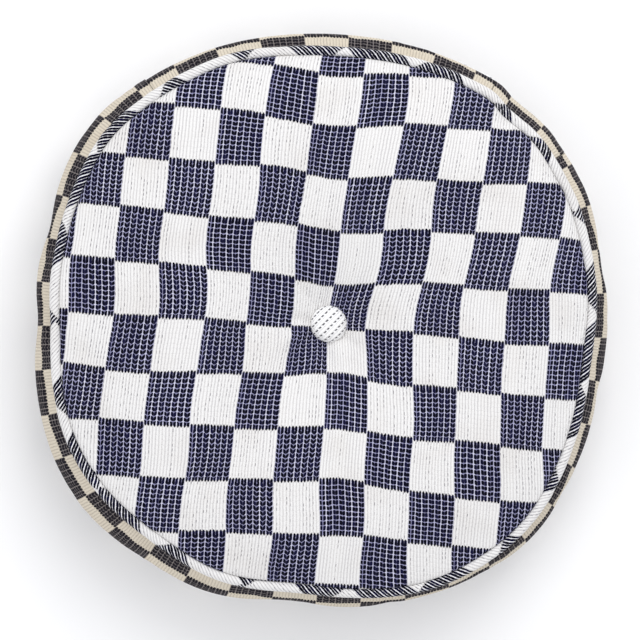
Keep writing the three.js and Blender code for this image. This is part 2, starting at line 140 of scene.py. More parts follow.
def waves(bearing, lowest, highest, seed):
    """A smooth random wave round the cushion, about 1 high, made of that range of wave counts."""
    rng = np.random.default_rng(seed)
    counts = np.arange(lowest, highest + 1)
    sizes = rng.normal(0, 1 / math.sqrt(len(counts)), len(counts))
    phases = rng.uniform(0, TURN, len(counts))
    return sum(s * np.cos(k * bearing + f) for k, s, f in zip(counts, sizes, phases))


# ---- Making and finishing meshes --------------------------------------------------------------------

def grid_object(name, points, fabric, closed=False, looped=False):
    """A mesh over a grid of points, rows running outwards, down or inwards and columns clockwise.
    fabric holds each point's place on the cloth, in ribs and rows, and becomes the UV map.
    Closed joins the last column to the first, and looped the last row to the first."""
    rows, columns = points.shape[:2]
    here = np.arange(rows * columns).reshape(rows, columns)
    if looped:
        here = np.vstack([here, here[:1]])
    if closed:
        here = np.hstack([here, here[:, :1]])
    quads = np.stack([here[:-1, :-1], here[:-1, 1:], here[1:, 1:], here[1:, :-1]], -1).reshape(-1, 4)
    mesh = bpy.data.meshes.new(name)
    mesh.from_pydata(points.reshape(-1, 3).tolist(), [], quads.tolist())
    layer = mesh.uv_layers.new(name="fabric")
    layer.data.foreach_set("uv", fabric.reshape(-1, 2)[quads.reshape(-1)].astype(np.float32).ravel())
    mesh.shade_smooth()
    piece = bpy.data.objects.new(name, mesh)
    bpy.context.scene.collection.objects.link(piece)
    return piece


def coordinates(mesh):
    flat = np.zeros(len(mesh.vertices) * 3)
    mesh.vertices.foreach_get("co", flat)
    return flat.reshape(-1, 3)


def apply_modifiers(piece):
    graph = bpy.context.evaluated_depsgraph_get()
    mesh = bpy.data.meshes.new_from_object(piece.evaluated_get(graph))
    piece.modifiers.clear()
    piece.data = mesh


def subdivide(piece):
    modifier = piece.modifiers.new("smooth", "SUBSURF")
    modifier.levels = modifier.render_levels = 1
    apply_modifiers(piece)


def thicken(piece, thickness):
    modifier = piece.modifiers.new("thickness", "SOLIDIFY")
    modifier.thickness = thickness
    modifier.offset = -1
    apply_modifiers(piece)


PRESSURE = 1.0
SLACK = 0.015               # how much longer the cloth is than its shape
FURTHEST = 0.0022           # no point of the cloth moves further than this
SETTLING_FRAMES = 18
SEAT = 0.0001               # the height of the lowest cloth, where it lies on the seat


def settle(piece, held):
    """Lets a piece of cloth settle under pressure with its held points fixed, and keeps where it ends."""
    rest = coordinates(piece.data)
    group = piece.vertex_groups.new(name="held")
    group.add(np.flatnonzero(held).tolist(), 1.0, "REPLACE")
    cloth = piece.modifiers.new("cloth", "CLOTH").settings
    cloth.quality = 5
    cloth.mass = 0.25
    cloth.tension_stiffness = cloth.compression_stiffness = 25
    cloth.shear_stiffness = 8
    cloth.bending_stiffness = 0.4
    cloth.tension_damping = cloth.compression_damping = 10
    cloth.vertex_group_mass = "held"
    cloth.shrink_min = -SLACK
    cloth.use_pressure = True
    cloth.uniform_pressure_force = PRESSURE
    cloth.effector_weights.gravity = 0
    scene = bpy.context.scene
    for number in range(1, SETTLING_FRAMES + 1):
        scene.frame_set(number)
    graph = bpy.context.evaluated_depsgraph_get()
    moved = coordinates(piece.evaluated_get(graph).data) - rest
    far = np.linalg.norm(moved, axis=1, keepdims=True)
    print("settled", piece.name, "most", round(float(far.max()) * 1000, 1), "mm")
    moved *= FURTHEST / (FURTHEST + far)
    piece.modifiers.clear()
    piece.vertex_groups.clear()
    scene.frame_set(1)
    piece.data.vertices.foreach_set("co", (rest + moved).ravel())


def rest_on_seat(piece):
    """Flattens the cloth where it would come through the surface that the cushion lies on."""
    points = coordinates(piece.data)
    points[:, 2] = np.maximum(points[:, 2], SEAT)
    piece.data.vertices.foreach_set("co", points.ravel())


def finish_piece(piece, material, body, slot, *nodes):
    piece.data.materials.clear()
    piece.data.materials.append(material)
    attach(piece, body)
    if nodes:
        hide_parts(*nodes)


# ---- Shader building blocks -------------------------------------------------------------------------

def srgb(red, green, blue):
    """A colour given as 0 to 255, in linear light."""
    return tuple(((c / 255 + 0.055) / 1.055) ** 2.4 if c > 10 else c / 255 / 12.92
                 for c in (red, green, blue)) + (1,)


class Graph:
    """Adds nodes to a node tree and wires them, so that a formula reads as one."""

    def __init__(self, tree):
        self.tree = tree

    def put(self, socket, value):
        if isinstance(value, bpy.types.NodeSocket):
            self.tree.links.new(value, socket)
        else:
            socket.default_value = value

    def node(self, kind, settings=None, **values):
        made = self.tree.nodes.new("ShaderNode" + kind)
        for key, value in (settings or {}).items():
            setattr(made, key, value)
        for key, value in values.items():
            self.put(made.inputs[key.replace("_", " ")], value)
        return made

    def math(self, operation, *values):
        made = self.tree.nodes.new("ShaderNodeMath")
        made.operation = operation
        for socket, value in zip(made.inputs, values):
            self.put(socket, value)
        return made.outputs[0]

    def add(self, a, b):
        return self.math("ADD", a, b)

    def times(self, a, b):
        return self.math("MULTIPLY", a, b)

    def less(self, a, b):
        return self.math("SUBTRACT", a, b)

    def step(self, value, low, high):
        """0 below low and 1 above high, smooth between."""
        made = self.tree.nodes.new("ShaderNodeMapRange")
        made.interpolation_type = "SMOOTHSTEP"
        for socket, x in zip(made.inputs, (value, low, high, 0.0, 1.0)):
            self.put(socket, x)
        return made.outputs[0]

    def mix(self, factor, a, b, blend="MIX"):
        made = self.tree.nodes.new("ShaderNodeMix")
        made.data_type = "RGBA"
        made.blend_type = blend
        self.put(made.inputs[0], factor)
        self.put(made.inputs[6], a)
        self.put(made.inputs[7], b)
        return made.outputs[2]

    def random(self, x, y=None):
        if y is None:
            return self.node("TexWhiteNoise", {"noise_dimensions": "1D"}, W=x).outputs["Value"]
        both = self.node("CombineXYZ", X=x, Y=y).outputs[0]
        return self.node("TexWhiteNoise", {"noise_dimensions": "2D"}, Vector=both).outputs["Value"]

    def noise(self, vector, scale, detail):
        return self.node("TexNoise", Vector=vector, Scale=scale, Detail=detail).outputs[0]


class Weave(Graph):
    """The checked cloth's pattern, from a point's place across its ribs and along its rows."""

    def __init__(self, tree):
        super().__init__(tree)
        given = tree.nodes.new("NodeGroupInput").outputs
        self.along = given["Along"]
        self.checks = given["Checks"]
        # The amount of painted warm shade, used on the side band's copy of the cloth.
        self.painted_shade = given["Warmth"]
        # Every second groove dotted, and the amount of painted light on the ivory.
        self.dots = given["Dots"]
        self.open = given["Open"]
        self.rib = self.math("FLOOR", given["Across"])
        self.in_rib = self.math("FRACT", given["Across"])
        self.odd = self.math("FLOORED_MODULO", self.rib, 2.0)
        self.luck = self.random(self.add(self.rib, 0.31))
        self.luck_2 = self.random(self.add(self.rib, 77.7))
        self.column = self.math("FLOOR", self.math("DIVIDE", self.add(self.rib, 0.5), float(CHECK_RIBS)))
        self.check_row = self.math("DIVIDE", self.along, float(CHECK_ROWS))
        self.off_rib = self.from_half(self.in_rib)
        self.fold = self.math("ABSOLUTE", self.less(self.in_rib, self.odd))
        self.find_row()

    def from_half(self, value):
        return self.math("ABSOLUTE", self.less(value, 0.5))

    def inverse(self, value):
        return self.less(1.0, value)

    def find_row(self):
        """The gaps between rows of dashes zigzag from rib to rib, more in some checks than in others."""
        style = self.step(self.random(self.column, self.math("FLOOR", self.check_row)), 0.25, 0.65)
        zigzag = self.times(self.fold, self.add(0.14, self.times(style, 0.34)))
        rows = self.add(self.add(self.along, zigzag), self.times(self.luck, 0.16))
        self.off_row = self.from_half(self.math("FRACT", rows))
        self.chance = self.random(self.rib, self.math("FLOOR", rows))

    def navy(self):
        """1 in the dark checks, whose ribs end in points that reach into the ivory."""
        point = self.less(0.52, self.times(self.off_rib, 1.04))
        dark = []
        for shifted in (self.add(self.along, point), self.less(self.along, point)):
            row = self.math("FLOOR", self.math("DIVIDE", shifted, float(CHECK_ROWS)))
            dark.append(self.math("FLOORED_MODULO", self.add(self.column, row), 2.0))
        return self.times(self.step(self.math("MAXIMUM", *dark), 0.4, 0.6), self.checks)

    def dash(self):
        """1 on the dark dashes. They are paired, so that every second gap between columns is wider. The first
        column of each check is narrow, and the dashes at a check's ends run into its points."""
        from_end = self.from_half(self.math("FRACT", self.add(self.check_row, 0.5)))
        inside = self.step(self.times(from_end, float(CHECK_ROWS)), 0.2, 0.6)
        first = self.inverse(self.step(self.math("FLOORED_MODULO", self.rib, float(CHECK_RIBS)), 0.4, 0.6))
        centre = self.less(self.less(0.555, self.times(self.odd, 0.11)), self.times(first, 0.10))
        narrow = self.add(self.times(self.open, 0.04), self.times(first, 0.07))
        narrow = self.add(narrow, self.less(0.06, self.times(inside, 0.06)))
        half = self.less(self.add(0.40, self.times(self.luck_2, 0.04)), narrow)
        beside = self.math("DIVIDE", self.math("ABSOLUTE", self.less(self.in_rib, centre)), half)
        tall = self.add(self.add(0.37, self.times(self.chance, 0.07)), self.times(self.open, 0.12))
        above = self.times(inside, self.math("DIVIDE", self.off_row, tall))
        rounded = self.add(self.math("POWER", beside, 4.0), self.math("POWER", above, 4.0))
        return self.inverse(self.step(rounded, 0.8, 1.5))

    def navy_color(self, dash):
        """Dark dashes, with the wider gaps between them brighter."""
        dark = self.mix(self.math("POWER", self.chance, 3.0), srgb(3, 3, 20), srgb(16, 16, 52))
        # Painted warm shade makes the dashes lighter, for the softer contrast of shade.
        dark = self.mix(self.painted_shade, dark, srgb(34, 34, 44))
        bright = self.mix(self.luck, srgb(160, 160, 192), srgb(224, 224, 240))
        gap = self.mix(self.step(self.fold, 0.15, 0.5), bright, srgb(146, 146, 180))
        gap = self.mix(self.open, gap, srgb(246, 246, 250))
        # Painted warm shade makes the gaps darker.
        gap = self.mix(self.painted_shade, gap, srgb(126, 124, 130))
        return self.mix(dash, gap, dark)

    def dotted_thread(self):
        """1 on a dark thread's dots, in some of the grooves and fewer of them where warm shade is painted on,
        or in every second one where the dots input is 1.
        """
        # Fewer dotted threads where warm shade is painted on.
        some = self.times(self.step(self.luck_2, 0.45, 0.6), self.less(0.8, self.times(self.painted_shade, 0.7)))
        chosen = self.add(self.times(some, self.inverse(self.dots)), self.times(self.dots, self.odd))
        reach = self.add(0.30, self.times(self.dots, 0.24))
        thread = self.times(chosen, self.inverse(self.step(self.in_rib, self.less(reach, 0.10), reach)))
        dots = self.times(thread, self.inverse(self.step(self.off_row, 0.22, 0.36)))
        return self.times(dots, self.math("MAXIMUM", self.step(self.chance, 0.1, 0.9), self.dots))

    def ivory_color(self, groove):
        """Ivory ribs with painted shade in their grooves, and a dotted thread. Where the dots input is 1, the
        ivory is painted brighter and its grooves paler, as painted light.
        """
        # Painted light: the ivory is brighter where the dots input is 1.
        ridge = self.mix(self.dots, srgb(237, 236, 234), srgb(252, 252, 251))
        # Painted shade in the grooves: deeper on some ribs and on the stretched bias cloth.
        shade = self.math("MAXIMUM", self.luck, self.open)
        painted_groove_shade = self.mix(shade, srgb(219, 216, 213), srgb(196, 193, 194))
        # Painted light: the grooves are paler where the dots input is 1.
        painted_groove_shade = self.mix(self.dots, painted_groove_shade, srgb(232, 231, 231))
        ivory = self.mix(self.times(groove, 0.8), ridge, painted_groove_shade)
        dot = self.mix(self.dots, srgb(104, 100, 108), srgb(58, 56, 64))
        return self.mix(self.times(self.dotted_thread(), 0.9), ivory, dot)


def weave_group():
    """The checked cloth. Across counts ribs and Along counts rows. Checks is 0 where the cloth is all ivory.
    The next input paints warm shade on: towards 1 the cloth is creamier and darker, with softer contrast and
    fewer dotted threads. The one after it is 1 where every second groove shows its dark thread, and there it
    also paints light on, a brighter ivory with paler grooves. Open is how far the ribs are stretched apart.
    Gives the colour, and a height for the bump."""
    tree = bpy.data.node_groups.new("weave", "ShaderNodeTree")
    face = tree.interface
    for name in ("Across", "Along", "Checks", "Warmth", "Dots", "Open"):
        face.new_socket(name, in_out="INPUT", socket_type="NodeSocketFloat")
    face.new_socket("Color", in_out="OUTPUT", socket_type="NodeSocketColor")
    face.new_socket("Height", in_out="OUTPUT", socket_type="NodeSocketFloat")
    g = Weave(tree)
    navy = g.navy()
    dash = g.dash()
    groove = g.step(g.off_rib, 0.2, 0.5)
    cloth = g.mix(navy, g.ivory_color(groove), g.navy_color(dash))
    # Painted warm shade: the cloth is made creamier and darker.
    cloth = g.mix(g.painted_shade, cloth, srgb(231, 220, 198), "MULTIPLY")
    height = g.inverse(g.times(groove, 0.45))
    height = g.add(height, g.times(navy, g.less(g.times(dash, 0.9), 0.5)))
    height = g.less(height, g.times(g.step(g.off_row, 0.3, 0.5), 0.25))
    out = tree.nodes.new("NodeGroupOutput")
    g.put(out.inputs["Color"], cloth)
    g.put(out.inputs["Height"], height)
    return tree


def shader(name, **values):
    """A material with one Principled shader. Returns it, its graph and the shader."""
    material = bpy.data.materials.new(name)
    material.use_nodes = True
    material.node_tree.nodes.clear()
    g = Graph(material.node_tree)
    bsdf = g.node("BsdfPrincipled")
    for key, value in values.items():
        bsdf.inputs[key.replace("_", " ")].default_value = value
    out = g.node("OutputMaterial")
    g.put(out.inputs["Surface"], bsdf.outputs[0])
    return material, g, bsdf


def bump(g, bsdf, height, distance, strength):
    made = g.node("Bump", Height=height, Distance=distance, Strength=strength)
    g.put(bsdf.inputs["Normal"], made.outputs[0])


WEAVE = weave_group()


def cloth_material(name, checks, painted_shade, dots=0.0, opened=0.0):
    """The woven cloth on whatever fabric map its piece carries, with soft wear, slubs and unevenness."""
    material, g, bsdf = shader(name, Specular_IOR_Level=0.1)
    place_3d = g.node("TexCoord").outputs["Object"]
    drift = g.node("TexNoise", Vector=place_3d, Scale=170.0, Detail=1.0).outputs["Color"]
    push = g.node("SeparateXYZ", Vector=drift).outputs
    fabric = g.node("SeparateXYZ", Vector=g.node("UVMap", {"uv_map": "fabric"}).outputs[0]).outputs
    weave = g.node("Group", {"node_tree": WEAVE}, Checks=checks, Warmth=painted_shade, Dots=dots, Open=opened,
                   Across=g.add(fabric[0], g.times(g.less(push[0], 0.5), 0.30)),
                   Along=g.add(fabric[1], g.times(g.less(push[1], 0.5), 0.45)))
    patch = g.noise(place_3d, 26.0, 3.0)
    wear = g.times(g.step(patch, 0.45, 0.75), 0.35)
    worn = g.mix(wear, weave.outputs["Color"], srgb(236, 232, 228), "MULTIPLY")
    slub = g.noise(place_3d, 900.0, 2.0)
    color = g.mix(g.times(slub, 0.22), worn, srgb(222, 220, 222), "MULTIPLY")
    g.put(bsdf.inputs["Base Color"], color)
    g.put(bsdf.inputs["Roughness"], g.add(0.82, g.times(slub, 0.14)))
    bump(g, bsdf, g.add(weave.outputs["Height"], g.times(slub, 0.5)), 0.0007, 0.8)
    return material


def plain_material(name, color, rough, scale, depth, metal=0.0, spread=0.15):
    """A noise-grained surface: foam, fibre, tape, nylon or metal, by its grain's scale and depth."""
    material, g, bsdf = shader(name, Metallic=metal)
    place_3d = g.node("TexCoord").outputs["Object"]
    grain = g.noise(place_3d, scale, 4.0)
    darker = tuple(c * (1 - spread) for c in color[:3]) + (1,)
    g.put(bsdf.inputs["Base Color"], g.mix(g.step(grain, 0.3, 0.7), darker, color))
    g.put(bsdf.inputs["Roughness"], g.add(rough - 0.06, g.times(grain, 0.12)))
    bump(g, bsdf, grain, depth, 0.6)
    return material


CHECK = cloth_material("check_cloth", 1.0, 0.0)
# The side band is the same cloth with painted warm shade: creamier and darker, with softer contrast.
BAND_PAINTED_SHADE = cloth_material("band_cloth_painted_shade", 1.0, 0.85)
BIAS = cloth_material("bias_cloth", 1.0, 0.0, opened=1.0)
# The buttons' ivory cloth, painted brighter with paler grooves, as painted light.
IVORY_PAINTED_LIGHT = cloth_material("ivory_cloth", 0.0, 0.0, dots=1.0)
THREAD = plain_material("thread", srgb(232, 228, 216), 0.7, 2200.0, 0.0001)
METAL = plain_material("nickel", srgb(196, 197, 200), 0.28, 400.0, 0.00004, metal=1.0)
STEEL = plain_material("steel", srgb(170, 172, 176), 0.36, 700.0, 0.00003, metal=1.0)
NYLON = plain_material("zip_coil", srgb(232, 227, 214), 0.42, 900.0, 0.00004)
TAPE = plain_material("zip_tape", srgb(228, 222, 206), 0.85, 1500.0, 0.0002)
FOAM = plain_material("foam", srgb(240, 228, 180), 0.95, 900.0, 0.0008)
FIBRE = plain_material("batting", srgb(245, 244, 240), 0.98, 260.0, 0.002)
COTTON = plain_material("cotton_cord", srgb(230, 224, 208), 0.9, 1200.0, 0.0004)
TWINE = plain_material("twine", srgb(214, 203, 178), 0.7, 1600.0, 0.0002)

# ---- Camera, light and floor ------------------------------------------------------------------------

CAMERA_TILT = math.radians(4.2)     # towards the cushion's left
CAMERA_DISTANCE = 2.6
VIEW_WIDTH = 0.5009                 # across the picture, at the height of the band's fullest line
FLOOR_HALF = 4.0


def make_camera():
    target = Vector((0, 0, MID))
    camera = bpy.data.objects.new("camera", bpy.data.cameras.new("camera"))
    bpy.context.scene.collection.objects.link(camera)
    away = Vector((-math.sin(CAMERA_TILT), 0, math.cos(CAMERA_TILT)))
    camera.location = target + away * CAMERA_DISTANCE
    side = Vector((0, 1, 0)).cross(away)
    camera.rotation_euler = Matrix((side, Vector((0, 1, 0)), away)).transposed().to_euler()
    camera.data.angle = 2 * math.atan(VIEW_WIDTH / 2 / CAMERA_DISTANCE)
    camera.data.clip_start = 0.01
    bpy.context.scene.camera = camera


def make_floor():
    mesh = bpy.data.meshes.new("floor")
    corners = [(-1, -1), (1, -1), (1, 1), (-1, 1)]
    mesh.from_pydata([(x * FLOOR_HALF, y * FLOOR_HALF, 0) for x, y in corners], [], [(0, 1, 2, 3)])
    floor = bpy.data.objects.new("floor", mesh)
    bpy.context.scene.collection.objects.link(floor)
    floor.data.materials.append(plain_material("floor", srgb(252, 252, 252), 0.95, 3.0, 0.0001, spread=0.01))


def make_lamp(name, position, size, power):
    """A square lamp that faces the cushion's middle."""
    light = bpy.data.lights.new(name, "AREA")
    light.size = size
    light.energy = power
    holder = bpy.data.objects.new(name, light)
    holder.location = position
    holder.rotation_euler = (Vector((0, 0, 0.05)) - Vector(position)).to_track_quat("-Z", "Y").to_euler()
    bpy.context.scene.collection.objects.link(holder)


def make_sky():
    world = bpy.data.worlds.new("world")
    world.use_nodes = True
    sky = world.node_tree.nodes["Background"].inputs
    sky["Color"].default_value = srgb(250, 251, 255)
    sky["Strength"].default_value = 0.87
    bpy.context.scene.world = world
    bpy.context.scene.view_settings.view_transform = "Standard"


make_camera()
make_floor()
make_lamp("key", (0.5, 1.5, 1.9), 1.6, 24)
make_lamp("fill", (-1.6, -0.8, 1.6), 1.6, 7)
make_sky()

# ---- Section curves ---------------------------------------------------------------------------------


def from_middle(radius, z):
    return (radius - HALF_WIDTH, z)


PANEL_TUCK = [beside_piping(100), beside_piping(120), beside_piping(142), beside_piping(160),
              at_seam(-0.0075, 0.0020), at_seam(-ALLOWANCE_END, 0.0022)]
BAND_TUCK = [at_seam(-ALLOWANCE_END, -0.0022), at_seam(-0.0075, -0.0020),
             beside_piping(-160), beside_piping(-142), beside_piping(-120)]
TOP_CROWN = [from_middle(0.0032, DIMPLE_TOP), from_middle(0.013, DIMPLE_TOP + 0.0003),
             from_middle(0.023, 0.0930), from_middle(0.044, 0.1016), from_middle(0.078, 0.1090),
             from_middle(0.125, 0.1120), from_middle(0.165, 0.1090), from_middle(0.196, 0.1006)] + PANEL_TUCK
BOTTOM_CROWN = flipped(PANEL_TUCK) + [
    from_middle(0.197, 0.0076), from_middle(0.180, 0.0024), from_middle(0.160, 0.0008),
    from_middle(0.110, 0.0008), from_middle(0.072, 0.0012), from_middle(0.048, 0.0044),
    from_middle(0.026, 0.0134), from_middle(0.013, DIMPLE_BOTTOM), from_middle(0.0032, DIMPLE_BOTTOM)]
BAND_UPPER = BAND_TUCK + [(-0.0115, 0.0843), (-0.0056, 0.0765), (-0.0015, 0.0660)]
BAND_WHOLE = BAND_UPPER + [(0.0, MID)] + flipped(BAND_UPPER)
STRIP_UPPER = BAND_TUCK + [
    (-0.0120, 0.0846), (-0.0064, 0.0786), (-0.0028, 0.0730), (-0.0016, 0.0670), (-0.0030, 0.0623),
    (-0.0043, MID + FOLD + 0.0006), (-0.0050, MID + FOLD), (-0.0053, MID + FOLD + 0.0010)]
WRAP_UPPER = [from_middle(0.0046, 0.0858), from_middle(0.020, 0.0862), from_middle(0.046, 0.0975),
              from_middle(0.080, 0.1050), from_middle(0.125, 0.1082), from_middle(0.165, 0.1052),
              from_middle(0.187, 0.0950), (-0.0330, 0.0890), (-0.0205, 0.0775), (-0.0140, 0.0715),
              (-0.0120, 0.0650), (-0.0120, MID + 0.0003)]
FOAM_HALF = [from_middle(0.0044, 0.0820), from_middle(0.100, 0.0822), (-0.0300, 0.0818),
             (-0.0235, 0.0768), (-0.0192, 0.0716), (-0.0182, 0.0650)]
FOAM_RING = FOAM_HALF + [(-0.0180, MID)] + flipped(FOAM_HALF)

# ---- Unevenness -------------------------------------------------------------------------------------

# Where the filling pushes the whole side out or in: size, then bearing and spread in degrees.
BULGES = [(-0.0044, 42, 7), (0.0030, 64, 9), (0.0015, 85, 12), (0.0027, 140, 22), (-0.0034, 186, 9),
          (0.0014, 202, 9), (-0.0020, 219, 9), (0.0034, 243, 13), (-0.0036, 270, 9), (-0.0036, 288, 9),
          (0.0008, 303, 10), (-0.0014, 319, 6)]
# Where the top seam leans further out or in than the side below it.
LEANS = [(-0.0020, 60, 10), (-0.0028, 98, 12), (0.0072, 158, 17), (0.0015, 187, 9), (-0.0043, 225, 16),
         (0.0018, 275, 10), (0.0034, 289, 8), (0.0024, 340, 9), (-0.0014, 5, 12)]

CALM_MIDDLE = math.radians(3)       # the side has no bulges near this bearing, for the zip and its pull
CALM_REACH = math.radians(33)       # how far that stretch goes either way
CALM_FADE = math.radians(5)         # and the turn beyond it in which the bulges come in
RIM_START = 0.08                    # from the middle to where the unevenness begins
RIM_WIDTH = 0.12                    # and from there to where it is whole


def rises(bearing, places):
    """The sum of smooth rises, each given as size, bearing and spread."""
    total = np.zeros_like(bearing)
    for size, at, spread in places:
        away = (bearing - math.radians(at) + math.pi) % TURN - math.pi
        total += size * np.exp(-(away / math.radians(spread)) ** 2)
    return total


def deform(points):
    """The cushion's unevenness, shared by the cover, the piping and the filling so that none comes through
    another. It fades out inside the rim, and the bulges also fade out along the zip and beside its pull."""
    x, y, z = np.moveaxis(points, -1, 0)
    bearing = np.arctan2(x, y)
    rim = np.clip((np.hypot(x, y) - RIM_START) / RIM_WIDTH, 0, 1) ** 2
    off_zip = np.clip((np.abs(bearing - CALM_MIDDLE) - CALM_REACH) / CALM_FADE, 0, 1)
    lean = np.clip((z - MID) / (SEAM_TOP - MID), 0, 1.2)
    shift = rim * (off_zip * rises(bearing, BULGES) + lean * rises(bearing, LEANS))
    return points + np.stack([shift * np.sin(bearing), shift * np.cos(bearing), np.zeros_like(shift)], -1)


def swept(section, count, bearings, crowd=0.0):
    line = smooth_line(section, count, crowd)
    return deform(place(line[:, :1], line[:, 1:], bearings[None, :]))


def turned_over(points):
    """The same layer for the lower face, in the order that keeps its outside outside."""
    points = points[::-1].copy()
    points[..., 2] = 2 * MID - points[..., 2]
    return points


# ---- Fabric maps ------------------------------------------------------------------------------------

PANEL_START = (0.983, 0.098)        # the weave's place under the button, in checks
PINCH = 0.22                        # how much more cloth is drawn in at the tuft
PINCH_REACH = 0.034                 # and how far out that goes
PULL_ACROSS = 0.0030                # how far the weave is moved sideways at the button's left and right
PULL_ACROSS_REACH = 0.050           # and how far above and below it that goes
PULL_ALONG = 0.0042                 # how far it is moved lengthwise above and below the button
PULL_ALONG_REACH = 0.036            # and how far to the left and right of its middle that goes
PULL_ALONG_MIDDLE = 0.010
PULL_START = 0.020                  # the distance at which either is half of that
WANDER = 0.0008                     # the weave's random drift
PANEL_BOW = -5.3                    # checks that a column bows by, per square metre
SPREAD = 1.0                        # how much wider the weave is drawn towards the corners
BAND_JOIN = math.radians(61.5)      # where the side band's length starts and ends
BAND_CHECK = 0.0351                 # a check's width round the band's fullest line
BAND_START = 1.70                   # the weave's place at the join, in checks
BAND_FALL = 0.0197                  # from the top seam down to where the band's whole checks start
BIAS_COLUMN = 0.0453                # length of piping to each column of checks
BIAS_ROW = 0.0697                   # and to each row
BIAS_START = (1.83, 0.40)           # the weave's place at the piping's join, in checks
ALLOWANCE = 0.0085                  # cloth turned in beyond a seam


def run_of(points, axis):
    """Distance along the surface from the first point, down the rows (axis 0) or along the columns."""
    step = np.linalg.norm(np.diff(points, axis=axis), axis=-1)
    pad = [(0, 0), (0, 0)]
    pad[axis] = (1, 0)
    return np.cumsum(np.pad(step, pad), axis=axis)


def wander(x, y, size, seed):
    """A smooth random drift over the cloth, made of a few long waves."""
    rng = np.random.default_rng(seed)
    total = np.zeros_like(x)
    for _ in range(8):
        heading, phase = rng.uniform(0, TURN, 2)
        length = rng.uniform(0.06, 0.15)
        total += np.cos((x * math.cos(heading) + y * math.sin(heading)) * TURN / length + phase)
    return size * total / 2


def fabric_of_panel(points, seed):
    """Where each point of a panel lies on its flat cloth, in ribs and rows. Distances along the surface from
    the tuft are kept, so the checks close up where the cloth dips towards the button."""
    plan = points[..., :2] - TUFT
    radius = np.linalg.norm(plan, axis=-1, keepdims=True)
    run = run_of(points, 0)[..., None] + radius[:1]
    x, y = np.moveaxis(plan / radius * run * (1 + PINCH * np.exp(-(run / PINCH_REACH) ** 2)), -1, 0)
    across = x * math.cos(COLUMN_LEAN) - y * math.sin(COLUMN_LEAN)
    along = x * math.sin(ROW_TILT) + y * math.cos(ROW_TILT)
    level = np.exp(-(y / PULL_ACROSS_REACH) ** 2)
    in_line = np.exp(-((x - PULL_ALONG_MIDDLE) / PULL_ALONG_REACH) ** 2)
    across += PULL_ACROSS * level * x / (np.abs(x) + PULL_START)
    along += PULL_ALONG * in_line * y / (np.abs(y) + PULL_START)
    across += PANEL_BOW * y**2 * RIB * CHECK_RIBS - SPREAD * x * y**2 + wander(x, y, WANDER, seed)
    along += wander(x, y, WANDER, seed + 1) - SPREAD * y * x**2
    start_rib = CHECK_RIBS * PANEL_START[0]
    start_row = CHECK_ROWS * PANEL_START[1]
    return np.stack([across / RIB + start_rib, along / ROW + start_row], -1)


def fabric_of_band(points, bearings):
    """The band's ribs run up it, and its length starts and ends at its join."""
    past_join = (bearings - BAND_JOIN) % TURN
    whole = BAND_JOIN + np.linspace(0, TURN, 1441)
    steps = np.linalg.norm(np.diff(outline(whole), axis=0), axis=-1)
    length = np.interp(past_join, whole - BAND_JOIN, np.r_[0, np.cumsum(steps)])
    across = (length / BAND_CHECK + BAND_START) * CHECK_RIBS
    along = (BAND_FALL + ALLOWANCE - run_of(points, 0)) / ROW
    return np.stack([np.broadcast_to(across, along.shape), along], -1)


def fabric_on_bias(points):
    """Piping cloth, cut slantwise to its length."""
    middle = len(points) // 2
    over = run_of(points, 0)
    over -= over[middle]
    length = run_of(points, 1)[middle]
    across = (length / BIAS_COLUMN + BIAS_START[0]) * CHECK_RIBS + over * HALF / RIB
    along = (length / BIAS_ROW + BIAS_START[1]) * CHECK_ROWS - over * HALF / ROW
    return np.stack([across, along], -1)


def no_fabric(points):
    return np.zeros(points.shape[:2] + (2,))


# ---- The cover's cloth ------------------------------------------------------------------------------

BEARINGS = np.linspace(0, TURN, 180, endpoint=False)
HELD_ROWS = 8       # rows beside a seam that the simulation holds still
CLOTH = 0.0009


GATHER_RADIUS = 0.190       # the middle of the gathers beside the seam, from the tuft
GATHER_SPREAD = 0.012
GATHER_HEIGHT = 0.0006
PLEAT_RADIUS = 0.030        # the middle of the pleats round the tuft
PLEAT_SPREAD = 0.016
PLEAT_HEIGHT = 0.0010


def puckered(points, seam_z, seed):
    """Gathers beside the seam and soft pleats round the tuft."""
    bearing = np.arctan2(points[..., 0], points[..., 1])
    from_tuft = np.linalg.norm(points[..., :2] - TUFT, axis=-1)
    side = math.copysign(1, seam_z - MID)
    beside_seam = np.exp(-((from_tuft - GATHER_RADIUS) / GATHER_SPREAD) ** 2)
    round_tuft = np.exp(-((from_tuft - PLEAT_RADIUS) / PLEAT_SPREAD) ** 2)
    points = points.copy()
    points[..., 2] += side * GATHER_HEIGHT * waves(bearing, 16, 42, seed) * beside_seam
    points[..., 2] += side * PLEAT_HEIGHT * waves(bearing, 4, 9, seed + 1) * round_tuft
    return points


def cover_piece(name, points, fabric, node, material, closed=False, held=(HELD_ROWS, HELD_ROWS)):
    """One piece of the cover: its grid, settled by cloth simulation, smoothed and given thickness."""
    rows, columns = points.shape[:2]
    piece = grid_object(name, points, fabric, closed)
    row, column = np.divmod(np.arange(rows * columns), columns)
    fixed = (row < held[0]) | (row >= rows - held[1])
    if not closed:
        fixed |= (column < 2) | (column >= columns - 2)
    settle(piece, fixed)
    rest_on_seat(piece)
    subdivide(piece)
    thicken(piece, CLOTH)
    finish_piece(piece, material, "cushion", "check_cloth", node)


def panels():
    top = puckered(swept(TOP_CROWN, 66, BEARINGS, 0.6), SEAM_TOP, 1)
    cover_piece("top_panel_cloth", top, fabric_of_panel(top, 5), "top_panel", CHECK, True, (6, HELD_ROWS))
    bottom = puckered(swept(BOTTOM_CROWN, 60, BEARINGS, 0.6), SEAM_BOTTOM, 3)
    fabric = fabric_of_panel(bottom[::-1], 7)[::-1]
    cover_piece("bottom_panel_cloth", bottom, fabric, "bottom_panel", CHECK, True, (HELD_ROWS, 6))


